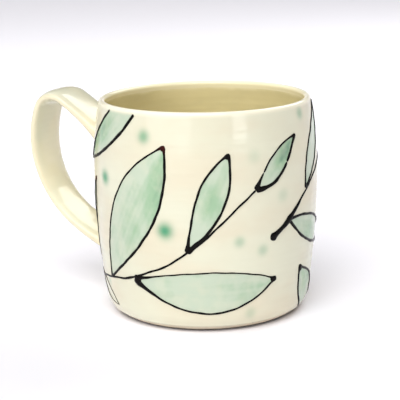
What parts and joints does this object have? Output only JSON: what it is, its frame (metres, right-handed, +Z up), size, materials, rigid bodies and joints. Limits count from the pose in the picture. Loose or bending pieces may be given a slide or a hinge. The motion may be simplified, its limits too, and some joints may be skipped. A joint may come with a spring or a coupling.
{
  "type": "stoneware mug",
  "caption": "Barrel-shaped stoneware drinking mug with a pulled strap handle, glossy cream glaze and trailed black leaf sprigs filled with pale green.",
  "frame": {"origin": "centre of the foot, on the plane that the mug stands on", "axes": "+Z up along the cup's axis; the handle points along -X"},
  "size_m": [0.1255, 0.0923, 0.0884],
  "materials": {
    "clay": "matt unglazed fired clay, fine-grained",
    "strap_glaze": "glossy clear glaze over pale clay",
    "joint_glaze": "glossy clear glaze over pale clay",
    "cream_glaze": "glossy clear glaze over pale clay, with watery green leaf washes and soft green dots",
    "liner_glaze": "glossy olive-cream glaze",
    "slip": "black trailed slip under a thin clear glaze"
  },
  "bodies": {
    "root": {"cup_body": "clay", "handle": "strap_glaze", "upper_joint": "joint_glaze", "lower_joint": "joint_glaze", "outer_glaze": "cream_glaze", "liner_glaze": "liner_glaze", "front_sprig": "slip", "right_sprig": "slip", "back_sprig": "slip", "loose_leaves": "slip"}
  },
  "joints": []
}
